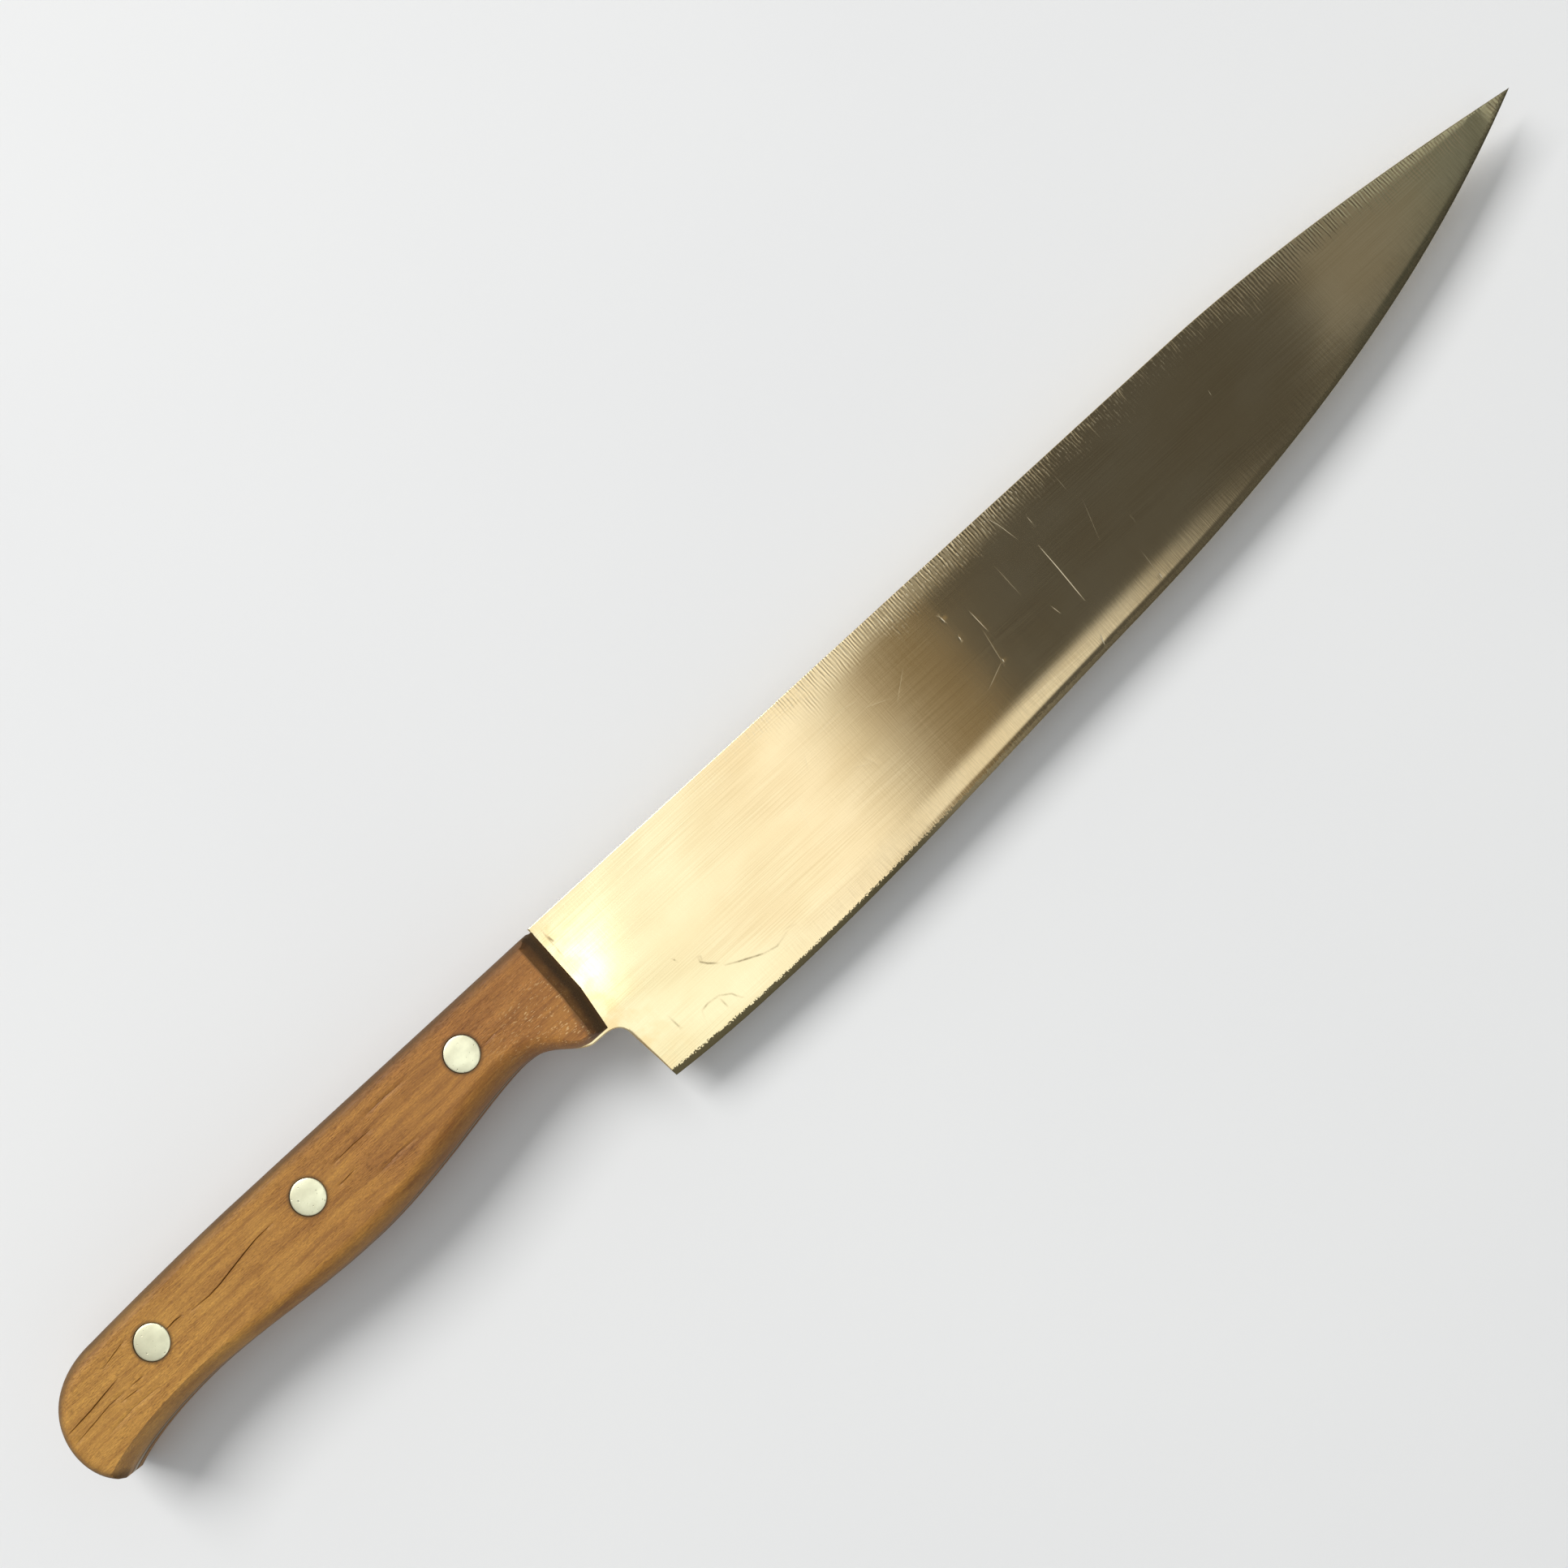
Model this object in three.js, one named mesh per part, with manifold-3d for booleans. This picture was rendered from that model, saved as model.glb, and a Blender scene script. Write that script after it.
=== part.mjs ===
// Chef knife with a full tang and riveted wooden scales. Units: millimetres, +Z up.
// The knife lies on its side: +X runs from the butt to the tip, +Y from the cutting edge to the spine.
// While the pieces are drawn, x = 0 is the front of the handle, y = 0 is the straight part of the
// spine and z = 0 is the plane that the knife lies on. The whole knife is centred at the end.

import * as THREE from "three";
import { mergeVertices } from "three/addons/utils/BufferGeometryUtils.js";
import Module from "manifold-3d";

// Overall
const BLADE_LENGTH = 255;
const HANDLE_THICKNESS = 18;
const MID_Z = HANDLE_THICKNESS / 2;

// Steel: the tang keeps the full thickness, and the blade is ground down to the edge.
const STEEL_THICKNESS = 2.4;
const TIP_DROP = 8.3; // the tip lies this far below the line of the spine
const SPINE_CURVE_START = 170;
const SPINE_CURVE_CONTROL = 204.5;
const HEEL_X = 2.6;
const HEEL_DEPTH = 40.9;
const EDGE_JOIN = [130, -36]; // where the curve of the heel half meets the curve of the tip half
const CHOIL_X = 1.4; // back of the blade under the handle
const CHOIL_DEPTH = 28.2;
const CHOIL_CORNER = [1, -25.9];
const TANG_CHIN = [-2, -25.6]; // underside of the tang, in front of and below the scales
const TANG_CHIN_REAR = [-5.3, -25.5];

// Grind, measured square to the spine or to the edge where the blade is tall enough
const SPINE_BAND = 4; // the flats beside the spine are left at full thickness
const FULL_HEIGHT = 38; // a narrower blade is thinner in proportion
const THINNING_WIDTH = 4.5;
const THINNING_SHARE = 0.42; // thickness left at the start of the thinning, as a share of the spine's
const BEVEL_WIDTH = 1;
const BEVEL_SHARE = 0.23;
const EDGE_THICKNESS = 0.08;
const LEAST_TAPER = 0.1;
const TAPER_POWER = 0.8;
const CROWDED_HEIGHT = 12; // below this height the grind lines move together
const PLUNGE_START = -0.6;
const PLUNGE_END = 1.2;
const STATION_PITCH = 11;
const GRIND_MARGIN = 2; // the ground body stands this far outside the outline

// Handle
const TOP_STEP = 0.9; // the back of the handle lies this far below the spine
const TOP_CURVE_START = [-80, -1];
const BUTT_TOP = [-116, -2.25];
const BUTT_CORNER = [-128.8, -26.4];
const BUTT_WAIST = [-104, -22.6];
const BELLY = [-65, -24.7];
const NECK = [-18.5, -19.15];
const SCALE_FRONT_X = 0.2;
const SCALE_FRONT_BEND = -15.5; // below this height the front leans back
const SCALE_CHIN = [-5.3, -24.9];
const SCALE_FRONT_CORNER = [-1.1, -25];
const ROUND_WIDTH = 2.4; // softened long edges of the scales, seen from the side of the blade
const ROUND_DEPTH = 4.4;
const ROUND_STEPS = 4;

// Rivets: a tube on one head, and a pin on the other that is pressed into the tube
const RIVETS = { front: [-24.4, -10], middle: [-64.9, -10.3], rear: [-106.1, -10.6] };
const HEAD_RADIUS = 3.7;
const HEAD_THICKNESS = 2;
const TUBE_RADIUS = 2.4;
const TUBE_BORE_RADIUS = 1.6;
const PIN_RADIUS = 1.55;
const PIN_LENGTH = 10;
const TUBE_END_GAP = 0.5;
const HOLE_CLEARANCE = 0.05; // radial
const SEAT_CLEARANCE = 0.02; // under each head
const ROUND_SEGMENTS = 32;

const CURVE_SEGMENTS = 12;
const WELD = 1e-4;

const steel = new THREE.MeshStandardMaterial({ color: 0xb3a684, roughness: 0.34, metalness: 1 });
const wood = new THREE.MeshStandardMaterial({ color: 0x96602f, roughness: 0.62, metalness: 0 });
const aluminium = new THREE.MeshStandardMaterial({ color: 0xd8d2b4, roughness: 0.4, metalness: 1 });

const wasm = await Module();
wasm.setup();

// A closed geometry as a solid that can be joined and cut
function solidOf(geometry) {
  const bare = geometry.clone();
  bare.deleteAttribute("normal");
  bare.deleteAttribute("uv");
  const welded = mergeVertices(bare, WELD);
  return new wasm.Manifold(
    new wasm.Mesh({
      numProp: 3,
      vertProperties: welded.getAttribute("position").array,
      triVerts: new Uint32Array(welded.index.array),
    }),
  );
}

function geometryOf(solid) {
  const { vertProperties, triVerts } = solid.getMesh();
  const geometry = new THREE.BufferGeometry();
  geometry.setAttribute("position", new THREE.BufferAttribute(vertProperties, 3));
  geometry.setIndex(new THREE.BufferAttribute(triVerts, 1));
  geometry.computeVertexNormals();
  return geometry;
}

function namedMesh(name, geometry, material) {
  const mesh = new THREE.Mesh(geometry, material);
  mesh.name = name;
  return mesh;
}

// ---- Outlines -------------------------------------------------------------------------------

const tip = new THREE.Vector2(BLADE_LENGTH, -TIP_DROP);
const heel = new THREE.Vector2(HEEL_X, -HEEL_DEPTH);
const edgeJoin = new THREE.Vector2(...EDGE_JOIN);

const spineCurve = new THREE.QuadraticBezierCurve(
  new THREE.Vector2(SPINE_CURVE_START, 0),
  new THREE.Vector2(SPINE_CURVE_CONTROL, 0),
  tip,
);
const tipEdge = new THREE.CubicBezierCurve(
  tip,
  new THREE.Vector2(219.4, -24),
  new THREE.Vector2(181, -32.6),
  edgeJoin,
);
const heelEdge = new THREE.CubicBezierCurve(
  edgeJoin,
  new THREE.Vector2(90, -38.5),
  new THREE.Vector2(40, -44),
  heel,
);

// The underside, butt and back of the handle, which the tang shares with both scales
function traceGrip(shape) {
  shape.bezierCurveTo(-28.1, -19.2, -47.8, -25, ...BELLY);
  shape.bezierCurveTo(-77.9, -24.9, -92, -22.5, ...BUTT_WAIST);
  shape.bezierCurveTo(-111, -22.7, -122, -23.6, ...BUTT_CORNER);
  shape.bezierCurveTo(-136.5, -20.2, -134.6, -2.4, ...BUTT_TOP);
  shape.bezierCurveTo(-108, -1.8, -92, -1.1, ...TOP_CURVE_START);
}

function steelOutline() {
  const shape = new THREE.Shape();
  shape.moveTo(0, 0);
  shape.lineTo(SPINE_CURVE_START, 0);
  shape.curves.push(spineCurve, tipEdge, heelEdge);
  shape.currentPoint.copy(heel);
  shape.lineTo(CHOIL_X, -CHOIL_DEPTH);
  shape.quadraticCurveTo(...CHOIL_CORNER, ...TANG_CHIN);
  shape.lineTo(...TANG_CHIN_REAR);
  shape.bezierCurveTo(-9.6, -24.6, -10.2, -19.5, ...NECK);
  traceGrip(shape);
  shape.lineTo(0, -TOP_STEP);
  shape.closePath();
  return shape;
}

function scaleOutline() {
  const shape = new THREE.Shape();
  shape.moveTo(SCALE_FRONT_X, -TOP_STEP);
  shape.lineTo(SCALE_FRONT_X, SCALE_FRONT_BEND);
  shape.lineTo(...SCALE_FRONT_CORNER);
  shape.lineTo(...SCALE_CHIN);
  shape.bezierCurveTo(-9.8, -24.2, -10.2, -19.5, ...NECK);
  traceGrip(shape);
  shape.closePath();
  return shape;
}

// ---- Steel ----------------------------------------------------------------------------------

// The y of a blade curve at x, by halving, for curves that run one way along x
function curveY(curve, x) {
  const rising = curve.getPoint(1).x > curve.getPoint(0).x;
  let low = 0;
  let high = 1;
  while (high - low > 1e-6) {
    const middle = (low + high) / 2;
    if (curve.getPoint(middle).x < x === rising) low = middle;
    else high = middle;
  }
  return curve.getPoint(low).y;
}

function spineY(x) {
  return x <= SPINE_CURVE_START ? 0 : curveY(spineCurve, Math.min(x, BLADE_LENGTH));
}

function edgeY(x) {
  if (x <= HEEL_X) return -HEEL_DEPTH;
  return curveY(x < edgeJoin.x ? heelEdge : tipEdge, Math.min(x, BLADE_LENGTH));
}

// The lines of the grind at one place along the knife, from above the spine to below the edge,
// each with the half thickness of the steel there
function grindLines(x) {
  const top = spineY(x);
  const bottom = edgeY(x);
  const height = top - bottom;
  const taper = THREE.MathUtils.clamp((height / FULL_HEIGHT) ** TAPER_POWER, LEAST_TAPER, 1);
  const crowding = THREE.MathUtils.clamp(height / CROWDED_HEIGHT, LEAST_TAPER ** 2, 1);
  const full = STEEL_THICKNESS / 2;
  const spineHalf = full * taper;
  const edgeHalf = EDGE_THICKNESS / 2;
  const ground = THREE.MathUtils.clamp((x - PLUNGE_START) / (PLUNGE_END - PLUNGE_START), 0, 1);
  return [
    [top + GRIND_MARGIN, spineHalf],
    [top - SPINE_BAND * crowding, spineHalf],
    [bottom + THINNING_WIDTH * crowding, spineHalf * THINNING_SHARE],
    [bottom + BEVEL_WIDTH * crowding, Math.max(spineHalf * BEVEL_SHARE, edgeHalf)],
    [bottom, edgeHalf],
    [bottom - GRIND_MARGIN, edgeHalf],
  ].map(([y, half]) => [y, THREE.MathUtils.lerp(full, half, ground)]);
}

// A body that is as thick as the steel everywhere, and larger than its outline
function groundBody() {
  const first = BUTT_CORNER[0] - STATION_PITCH;
  const last = BLADE_LENGTH + GRIND_MARGIN;
  const steps = Math.ceil((last - PLUNGE_END) / STATION_PITCH);
  const stations = [first, PLUNGE_START, PLUNGE_END];
  for (let i = 1; i <= steps; i++) {
    stations.push(PLUNGE_END + ((last - PLUNGE_END) * i) / steps);
  }
  const lines = stations.map(grindLines);
  const rows = lines[0].length - 1;
  const columns = stations.length - 1;
  const body = new THREE.BoxGeometry(1, 1, 1, columns, rows, 1);
  const position = body.getAttribute("position");
  for (let i = 0; i < position.count; i++) {
    const column = Math.round((position.getX(i) + 0.5) * columns);
    const row = Math.round((0.5 - position.getY(i)) * rows);
    const [y, half] = lines[column][row];
    position.setXYZ(i, stations[column], y, MID_Z + Math.sign(position.getZ(i)) * half);
  }
  return solidOf(body);
}

function bladeAndTang() {
  const blank = new THREE.ExtrudeGeometry(steelOutline(), {
    depth: HANDLE_THICKNESS,
    bevelEnabled: false,
    curveSegments: CURVE_SEGMENTS,
  });
  let piece = solidOf(blank).intersect(groundBody());
  for (const place of Object.values(RIVETS)) {
    piece = piece.subtract(hole(place, TUBE_RADIUS + HOLE_CLEARANCE, 0, HANDLE_THICKNESS));
  }
  return geometryOf(piece);
}

// ---- Scales ---------------------------------------------------------------------------------

function hole([x, y], radius, low, high) {
  const cutter = new THREE.CylinderGeometry(radius, radius, high - low, ROUND_SEGMENTS);
  cutter.rotateX(Math.PI / 2);
  cutter.translate(x, y, (low + high) / 2);
  return solidOf(cutter);
}

// The whole handle as one rounded body, which the steel divides into the two scales
const handleBody = solidOf(
  new THREE.ExtrudeGeometry(scaleOutline(), {
    depth: HANDLE_THICKNESS - 2 * ROUND_DEPTH,
    bevelThickness: ROUND_DEPTH,
    bevelSize: ROUND_WIDTH,
    bevelOffset: -ROUND_WIDTH,
    bevelSegments: ROUND_STEPS,
    curveSegments: CURVE_SEGMENTS,
  }).translate(0, 0, ROUND_DEPTH),
);

// One scale between two heights, with its rivet heads seated in the face at outerZ
function scale(low, high, outerZ) {
  const reach = BLADE_LENGTH + HANDLE_THICKNESS;
  const slice = new THREE.BoxGeometry(2 * reach, 2 * reach, high - low);
  slice.translate(0, 0, (low + high) / 2);
  const inward = outerZ > MID_Z ? -1 : 1;
  const seatZ = outerZ + inward * (HEAD_THICKNESS + SEAT_CLEARANCE);
  const mouthZ = outerZ - inward * HEAD_THICKNESS;
  let piece = handleBody.intersect(solidOf(slice));
  const seat = [Math.min(seatZ, mouthZ), Math.max(seatZ, mouthZ)];
  for (const place of Object.values(RIVETS)) {
    piece = piece.subtract(hole(place, HEAD_RADIUS + HOLE_CLEARANCE, ...seat));
    piece = piece.subtract(hole(place, TUBE_RADIUS + HOLE_CLEARANCE, -1, HANDLE_THICKNESS + 1));
  }
  return geometryOf(piece);
}

// ---- Rivets ---------------------------------------------------------------------------------

// A turned piece from its radius and height pairs, with its axis along Z
function turned(profile) {
  const points = profile.map(([radius, z]) => new THREE.Vector2(radius, z));
  return new THREE.LatheGeometry(points, ROUND_SEGMENTS).rotateX(Math.PI / 2);
}

// Both halves are drawn with the outer face of the head at 0 and the shank towards +Z.
function femaleHalf() {
  const end = HANDLE_THICKNESS - HEAD_THICKNESS - TUBE_END_GAP;
  return turned([
    [0, 0],
    [HEAD_RADIUS, 0],
    [HEAD_RADIUS, HEAD_THICKNESS],
    [TUBE_RADIUS, HEAD_THICKNESS],
    [TUBE_RADIUS, end],
    [TUBE_BORE_RADIUS, end],
    [TUBE_BORE_RADIUS, HEAD_THICKNESS],
    [0, HEAD_THICKNESS],
  ]);
}

function maleHalf() {
  return turned([
    [0, 0],
    [HEAD_RADIUS, 0],
    [HEAD_RADIUS, HEAD_THICKNESS],
    [PIN_RADIUS, HEAD_THICKNESS],
    [PIN_RADIUS, HEAD_THICKNESS + PIN_LENGTH],
    [0, HEAD_THICKNESS + PIN_LENGTH],
  ]);
}

function rivet(name, [x, y]) {
  const pair = new THREE.Group();
  pair.position.set(x, y, 0);
  const female = namedMesh(`${name}_rivet_female`, femaleHalf(), aluminium);
  const male = namedMesh(`${name}_rivet_male`, maleHalf(), aluminium);
  male.rotation.x = Math.PI;
  male.position.z = HANDLE_THICKNESS;
  pair.add(female, male);
  return pair;
}

// ---- Assembly -------------------------------------------------------------------------------

const tangLow = MID_Z - STEEL_THICKNESS / 2;
const tangHigh = MID_Z + STEEL_THICKNESS / 2;

const pieces = new THREE.Group();
pieces.add(
  namedMesh("blade_and_tang", bladeAndTang(), steel),
  namedMesh("lower_scale", scale(0, tangLow, 0), wood),
  namedMesh("upper_scale", scale(tangHigh, HANDLE_THICKNESS, HANDLE_THICKNESS), wood),
);
for (const [name, place] of Object.entries(RIVETS)) pieces.add(rivet(name, place));

// The origin is the centre of the knife's plan, on the plane it lies on.
const middle = new THREE.Box3().setFromObject(pieces).getCenter(new THREE.Vector3());
pieces.position.set(-middle.x, -middle.y, 0);

const knife = new THREE.Group();
knife.add(pieces);

export default knife;
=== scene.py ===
# Looks of the chef knife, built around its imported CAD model.
# The knife is drawn in millimetres in a drawing frame: x = 0 is the front of the handle, y = 0 is the
# straight part of the spine, z = 0 is the plane it lies on. ORIGIN places that frame in the row frame.
import math

import bmesh
import bpy
import numpy as np
from mathutils import Matrix, Vector
from mathutils.geometry import delaunay_2d_cdt


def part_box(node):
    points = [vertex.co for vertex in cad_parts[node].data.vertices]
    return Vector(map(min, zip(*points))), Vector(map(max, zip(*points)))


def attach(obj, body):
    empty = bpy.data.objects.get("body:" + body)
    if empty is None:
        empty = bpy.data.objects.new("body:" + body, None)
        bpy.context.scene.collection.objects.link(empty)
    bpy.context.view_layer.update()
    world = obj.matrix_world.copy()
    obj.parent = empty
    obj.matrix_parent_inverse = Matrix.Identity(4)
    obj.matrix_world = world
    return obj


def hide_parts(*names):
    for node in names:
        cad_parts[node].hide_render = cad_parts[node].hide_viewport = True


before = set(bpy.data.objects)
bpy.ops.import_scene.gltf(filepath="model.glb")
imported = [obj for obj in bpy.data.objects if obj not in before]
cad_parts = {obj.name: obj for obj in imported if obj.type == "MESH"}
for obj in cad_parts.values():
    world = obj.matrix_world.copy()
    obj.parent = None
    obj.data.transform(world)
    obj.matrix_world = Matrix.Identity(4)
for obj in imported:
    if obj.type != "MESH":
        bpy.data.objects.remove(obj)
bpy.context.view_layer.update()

# ---- The frame of the drawing --------------------------------------------------------------------

MM = 0.001
BLADE_LENGTH = 255
steel_low, steel_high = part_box("blade_and_tang")
ORIGIN = np.array([steel_high.x / MM - BLADE_LENGTH, steel_high.y / MM, 0])
TANG_TOP = steel_high.z / MM
HANDLE_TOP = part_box("upper_scale")[1].z / MM
MID_Z = (steel_low.z + steel_high.z) / 2 / MM
FULL_HALF = TANG_TOP - MID_Z

# ---- Outlines ------------------------------------------------------------------------------------
# Each stretch is a straight line (2 points) or a Bezier curve (3 or 4 points). Loops run clockwise.

TIP = (BLADE_LENGTH, -8.3)
HEEL = (2.6, -40.9)
EDGE_JOIN = (130, -36)
NECK = (-18.5, -19.15)
BELLY = (-65, -24.7)
BUTT_WAIST = (-104, -22.6)
BUTT_CORNER = (-128.8, -26.4)
BUTT_TOP = (-116, -2.25)
TOP_CURVE_START = (-80, -1)
TOP_STEP = 0.9  # the back of the handle lies this far below the spine
PITCH = 0.7  # between points along an outline

SPINE = [
    [(0, 0), (170, 0)],
    [(170, 0), (204.5, 0), TIP],
]
EDGE = [
    [TIP, (219.4, -24), (181, -32.6), EDGE_JOIN],
    [EDGE_JOIN, (90, -38.5), (40, -44), HEEL],
]
CHOIL = [
    [HEEL, (1.4, -28.2)],
    [(1.4, -28.2), (1, -25.9), (-2, -25.6)],
    [(-2, -25.6), (-5.3, -25.5)],
    [(-5.3, -25.5), (-9.6, -24.6), (-10.2, -19.5), NECK],
]
UNDERSIDE = [
    [NECK, (-28.1, -19.2), (-47.8, -25), BELLY],
    [BELLY, (-77.9, -24.9), (-92, -22.5), BUTT_WAIST],
    [BUTT_WAIST, (-111, -22.7), (-122, -23.6), BUTT_CORNER],
]
BACK = [
    [BUTT_CORNER, (-136.5, -20.2), (-134.6, -2.4), BUTT_TOP],
    [BUTT_TOP, (-108, -1.8), (-92, -1.1), TOP_CURVE_START],
]
SCALE_CHIN = (-5.3, -24.9)
SCALE_CORNER = (-1.1, -25)
SCALE_FRONT_BEND = (0.2, -15.5)
SCALE_FRONT_TOP = (0.2, -TOP_STEP)

RIVETS = {"front": (-24.4, -10), "middle": (-64.9, -10.3), "rear": (-106.1, -10.6)}
HEAD_RADIUS = 3.7
HEAD_HOLE_RADIUS = 3.75
HEAD_SEAT = 2.02  # depth of the seat under a head, from the outer face of the scale
SHANK_HOLE_RADIUS = 2.45
CHUNK = 1500  # points that are measured at once, to save memory
TOUCHING = 0.01  # a point nearer than this to a line lies on it
LONGEST_MITRE = 2  # the way into a loop is no longer than this at a corner


def stretch(points, pitch=PITCH):
    """Points along one stretch about a pitch apart, without its last point."""
    points = np.array(points, float)
    degree = len(points) - 1
    length = np.linalg.norm(np.diff(points, axis=0), axis=1).sum()
    t = np.linspace(0, 1, math.ceil(length / pitch) + 1)[:-1, None]
    return sum(math.comb(degree, k) * (1 - t) ** (degree - k) * t**k * p for k, p in enumerate(points))


def loop(stretches):
    return np.vstack([stretch(points) for points in stretches])


def line(points, pitch):
    """An open line through a few points, with points about a pitch apart and its last point kept."""
    parts = [stretch(pair, pitch) for pair in zip(points[:-1], points[1:])]
    return np.vstack(parts + [np.array([points[-1]], float)])


def circle(centre, radius, count):
    angles = np.linspace(0, 2 * math.pi, count, endpoint=False)
    return np.array(centre) + radius * np.stack([np.cos(angles), np.sin(angles)], axis=1)


def inward(points):
    """At each point of a clockwise loop, the way into it.
    It is longer at corners, so that the sides keep their distance."""
    ahead = np.roll(points, -1, axis=0) - points
    after = np.stack([ahead[:, 1], -ahead[:, 0]], axis=1)
    after /= np.linalg.norm(after, axis=1)[:, None]
    mean = after + np.roll(after, 1, axis=0)
    mean /= np.linalg.norm(mean, axis=1)[:, None]
    lengthening = 1 / np.clip((mean * after).sum(axis=1), 1 / LONGEST_MITRE, 1)
    return mean * lengthening[:, None]


def in_chunks(points, measure):
    """measure(points), worked out for a chunk of the points at a time."""
    pieces = np.array_split(points, max(1, len(points) // CHUNK))
    return np.concatenate([measure(piece) for piece in pieces])


def nearest(points, path, closed):
    """(distance from each point to a path, place along the path in segments)."""
    start = path if closed else path[:-1]
    step = (np.roll(path, -1, axis=0) if closed else path[1:]) - start
    squared = (step**2).sum(axis=1)

    def measure(some):
        across = some[:, None] - start
        t = np.clip((across * step).sum(axis=2) / squared, 0, 1)
        gap = np.linalg.norm(across - t[..., None] * step, axis=2)
        best = gap.argmin(axis=1)
        rows = np.arange(len(some))
        return np.stack([gap[rows, best], best + t[rows, best]], axis=1)

    found = in_chunks(points, measure)
    return found[:, 0], found[:, 1]


def inside(points, path):
    """Which points lie inside a closed path."""
    start, end = path, np.roll(path, -1, axis=0)
    rise = end[:, 1] - start[:, 1]
    rise[rise == 0] = 1e-9  # a level side is never crossed, so any number but 0 does

    def measure(some):
        x, y = some[:, :1], some[:, 1:]
        crosses = (start[:, 1] > y) != (end[:, 1] > y)
        where = start[:, 0] + (y - start[:, 1]) * (end[:, 0] - start[:, 0]) / rise
        return (crosses & (x < where)).sum(axis=1) % 2 == 1

    return in_chunks(points, measure)


# ---- Marks: fine lines that are cut into a surface, or left on it --------------------------------

MARK_PITCH = 0.4
MARK_CLEARANCE = 0.12  # no other points lie nearer to the sides of a mark
MARK_END = 0.02  # share of a mark's length at each end that fades no further


class Marks:
    """Lines of one kind, listed under how strong they are. Rows of points carry each in the mesh."""

    def __init__(self, half_width, lines_by_strength):
        self.half_width = half_width
        self.lines = []
        self.strengths = []
        for strength, lines in lines_by_strength.items():
            self.lines += [line(points, MARK_PITCH) for points in lines]
            self.strengths += [strength] * len(lines)

    def rows(self):
        """Points along the middle of each line and on both of its sides."""
        found = []
        for path in self.lines:
            ahead = np.gradient(path, axis=0)
            side = np.stack([-ahead[:, 1], ahead[:, 0]], axis=1)
            side *= self.half_width / np.linalg.norm(side, axis=1)[:, None]
            found += [path, path + side, path - side]
        return np.vstack(found)

    def clear(self, points):
        """The points that lie clear of every line."""
        for path in self.lines:
            gap = nearest(points, path, closed=False)[0]
            points = points[gap > self.half_width + MARK_CLEARANCE]
        return points

    def strength(self, points):
        """The line's strength on its middle, 0 at its sides, and fading towards its ends."""
        total = np.zeros(len(points))
        for path, strength in zip(self.lines, self.strengths):
            gap, place = nearest(points, path, closed=False)
            fade = np.sin(np.pi * np.clip(place / (len(path) - 1), MARK_END, 1 - MARK_END)) ** 0.5
            total = np.maximum(total, np.clip(1 - gap / self.half_width, 0, 1) * fade * strength)
        return total


# ---- Meshes --------------------------------------------------------------------------------------

ONLY_INSIDE = 1  # Blender's number for triangles inside the edges, and none outside
MERGE_WITHIN = 1e-5


def triangulate(loops, free):
    """Triangles over the area that closed loops bound, through the free points.
    Returns all points, the loops' own first, and triples of their numbers."""
    points = np.vstack(loops + [free])
    edges = []
    first = 0
    for ring in loops:
        count = len(ring)
        edges += [(first + i, first + (i + 1) % count) for i in range(count)]
        first += count
    places = [Vector(p) for p in points.tolist()]
    _, _, triangles, sources, _, _ = delaunay_2d_cdt(places, edges, [], ONLY_INSIDE, MERGE_WITHIN)
    faces = [[sources[i][0] for i in face] for face in triangles]
    middles = points[np.array(faces)].mean(axis=1)
    keep = np.ones(len(faces), bool)
    for ring in loops[1:]:
        keep &= ~inside(middles, ring)
    return points, [face for face, kept in zip(faces, keep) if kept]


BLADE_SHARP_ANGLE = 40  # degrees between two faces, from which their shared edge is shaded as sharp
SCALE_SHARP_ANGLE = 35
RIVET_SHARP_ANGLE = 35


class Surface:
    """Points and faces of a piece in the drawing frame, with named values at each point."""

    def __init__(self):
        self.points = []
        self.faces = []
        self.values = []

    def add(self, plan, z, **values):
        """Adds points, and returns the number of the first."""
        first = sum(len(p) for p in self.points)
        heights = np.broadcast_to(z, len(plan))
        self.points.append(np.column_stack([plan, heights]))
        self.values.append({name: np.broadcast_to(v, len(plan)) for name, v in values.items()})
        return first

    def bridge(self, first, second, count):
        """Faces between two rings of the same number of points."""
        for i in range(count):
            j = (i + 1) % count
            self.faces.append((first + i, first + j, second + j, second + i))

    def build(self, name, node, sharp_angle):
        """The closed mesh as a Blender object in the row frame, in metres, no larger than its CAD node."""
        low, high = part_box(node)
        places = np.clip((np.vstack(self.points) + ORIGIN) * MM, low, high)
        mesh = bpy.data.meshes.new(name)
        mesh.from_pydata(places.tolist(), [], self.faces)
        for value in self.values[0]:
            layer = mesh.attributes.new(value, "FLOAT", "POINT")
            layer.data.foreach_set("value", np.concatenate([v[value] for v in self.values]))
        work = bmesh.new()
        work.from_mesh(mesh)
        loose = [v for v in work.verts if not v.link_faces]
        bmesh.ops.delete(work, geom=loose, context="VERTS")
        bmesh.ops.recalc_face_normals(work, faces=work.faces)
        open_edges = sum(not e.is_manifold for e in work.edges)
        if open_edges:
            raise RuntimeError(f"{name} has {open_edges} open edges")
        work.to_mesh(mesh)
        work.free()
        mesh.shade_smooth()
        mesh.set_sharp_from_angle(angle=math.radians(sharp_angle))
        piece = bpy.data.objects.new(name, mesh)
        bpy.context.scene.collection.objects.link(piece)
        return piece


# ---- The shape of the blade ----------------------------------------------------------------------

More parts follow.
